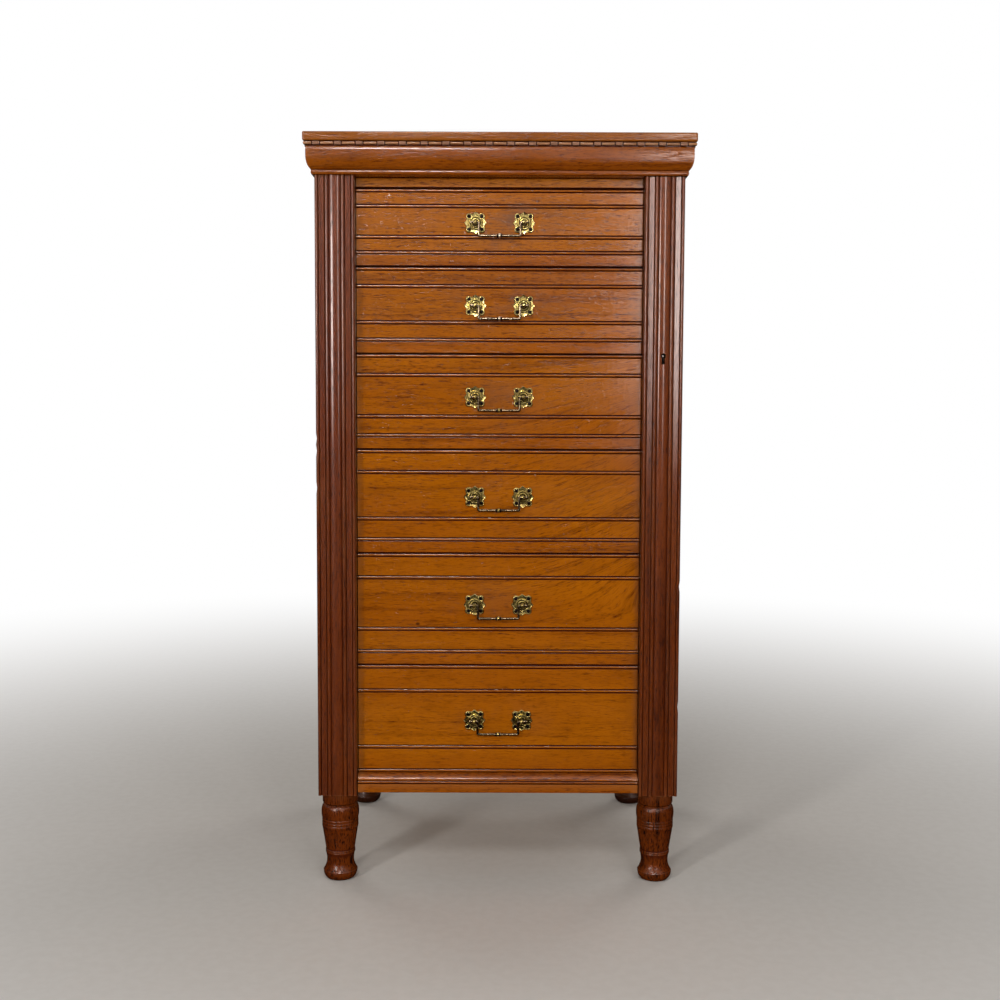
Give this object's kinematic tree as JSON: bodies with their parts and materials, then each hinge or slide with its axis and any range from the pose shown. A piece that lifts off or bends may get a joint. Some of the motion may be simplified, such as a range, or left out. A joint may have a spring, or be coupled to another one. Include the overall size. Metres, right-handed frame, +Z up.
{
  "type": "wellington chest",
  "caption": "Tall narrow wooden chest of graduated drawers with brass bail handles, turned legs, a moulded cornice and a reeded flap that locks over one side.",
  "frame": {"origin": "on the floor, under the middle of the top board", "axes": "+Z up, +X to the viewer's right, the front faces -Y"},
  "size_m": [0.608, 0.482, 1.1886],
  "materials": {
    "golden_oak": "golden straight-grained oak, waxed",
    "rail_oak": "darker golden oak, waxed",
    "brown_oak": "red-brown stained oak, waxed and worn",
    "inner_oak": "unfinished pale oak",
    "back_pine": "unfinished pine boards",
    "brass": "cast antique brass",
    "bronze": "dark toned brass wire",
    "steel": "dull lock steel"
  },
  "bodies": {
    "case": {"left_side": "brown_oak", "right_side": "brown_oak", "back_panel": "back_pine", "bottom_frame": "inner_oak", "top_board": "golden_oak", "cornice": "golden_oak", "left_pilaster": "brown_oak", "right_stile": "brown_oak", "top_rail": "rail_oak", "divider_1": "rail_oak", "divider_2": "rail_oak", "divider_3": "rail_oak", "divider_4": "rail_oak", "divider_5": "rail_oak", "base_rail": "rail_oak", "leg_front_left": "brown_oak", "leg_front_right": "brown_oak", "leg_back_left": "brown_oak", "leg_back_right": "brown_oak", "flap_pivot_top": "steel", "flap_pivot_bottom": "steel"},
    "flap": {"locking_flap": "brown_oak", "lock_case": "steel"},
    "hook_bolt": {"lock_bolt": "steel"},
    "drawer_1": {"drawer_1_front": "golden_oak", "drawer_1_box": "inner_oak", "drawer_1_bottom": "inner_oak", "handle_1_rosette_left": "brass", "handle_1_rosette_right": "brass"},
    "bail_1": {"handle_1_bail": "bronze"},
    "drawer_2": {"drawer_2_front": "golden_oak", "drawer_2_box": "inner_oak", "drawer_2_bottom": "inner_oak", "handle_2_rosette_left": "brass", "handle_2_rosette_right": "brass"},
    "bail_2": {"handle_2_bail": "bronze"},
    "drawer_3": {"drawer_3_front": "golden_oak", "drawer_3_box": "inner_oak", "drawer_3_bottom": "inner_oak", "handle_3_rosette_left": "brass", "handle_3_rosette_right": "brass"},
    "bail_3": {"handle_3_bail": "bronze"},
    "drawer_4": {"drawer_4_front": "golden_oak", "drawer_4_box": "inner_oak", "drawer_4_bottom": "inner_oak", "handle_4_rosette_left": "brass", "handle_4_rosette_right": "brass"},
    "bail_4": {"handle_4_bail": "bronze"},
    "drawer_5": {"drawer_5_front": "golden_oak", "drawer_5_box": "inner_oak", "drawer_5_bottom": "inner_oak", "handle_5_rosette_left": "brass", "handle_5_rosette_right": "brass"},
    "bail_5": {"handle_5_bail": "bronze"},
    "drawer_6": {"drawer_6_front": "golden_oak", "drawer_6_box": "inner_oak", "drawer_6_bottom": "inner_oak", "handle_6_rosette_left": "brass", "handle_6_rosette_right": "brass"},
    "bail_6": {"handle_6_bail": "bronze"}
  },
  "joints": [
    {"name": "flap_hinge", "type": "hinge", "parent": "case", "child": "flap", "pos_m": [0.281, -0.2105, 0.144], "axis": [0, 0, 1], "range_deg": [0, 90]},
    {"name": "hook_bolt_slide", "type": "slide", "parent": "flap", "child": "hook_bolt", "axis": [0, 0, -1], "range_m": [0, 0.006]},
    {"name": "drawer_1_slide", "type": "slide", "parent": "case", "child": "drawer_1", "axis": [0, -1, 0], "range_m": [0, 0.3]},
    {"name": "bail_1_swing", "type": "hinge", "parent": "drawer_1", "child": "bail_1", "pos_m": [0, -0.2143, 1.05525], "axis": [-1, 0, 0], "range_deg": [-15, 160]},
    {"name": "drawer_2_slide", "type": "slide", "parent": "case", "child": "drawer_2", "axis": [0, -1, 0], "range_m": [0, 0.3]},
    {"name": "bail_2_swing", "type": "hinge", "parent": "drawer_2", "child": "bail_2", "pos_m": [0, -0.2143, 0.92645], "axis": [-1, 0, 0], "range_deg": [-15, 160]},
    {"name": "drawer_3_slide", "type": "slide", "parent": "case", "child": "drawer_3", "axis": [0, -1, 0], "range_m": [0, 0.3]},
    {"name": "bail_3_swing", "type": "hinge", "parent": "drawer_3", "child": "bail_3", "pos_m": [0, -0.2143, 0.78285], "axis": [-1, 0, 0], "range_deg": [-15, 160]},
    {"name": "drawer_4_slide", "type": "slide", "parent": "case", "child": "drawer_4", "axis": [0, -1, 0], "range_m": [0, 0.3]},
    {"name": "bail_4_swing", "type": "hinge", "parent": "drawer_4", "child": "bail_4", "pos_m": [0, -0.2143, 0.62445], "axis": [-1, 0, 0], "range_deg": [-15, 160]},
    {"name": "drawer_5_slide", "type": "slide", "parent": "case", "child": "drawer_5", "axis": [0, -1, 0], "range_m": [0, 0.3]},
    {"name": "bail_5_swing", "type": "hinge", "parent": "drawer_5", "child": "bail_5", "pos_m": [0, -0.2143, 0.45125], "axis": [-1, 0, 0], "range_deg": [-15, 160]},
    {"name": "drawer_6_slide", "type": "slide", "parent": "case", "child": "drawer_6", "axis": [0, -1, 0], "range_m": [0, 0.3]},
    {"name": "bail_6_swing", "type": "hinge", "parent": "drawer_6", "child": "bail_6", "pos_m": [0, -0.2143, 0.26325], "axis": [-1, 0, 0], "range_deg": [-15, 160]}
  ]
}
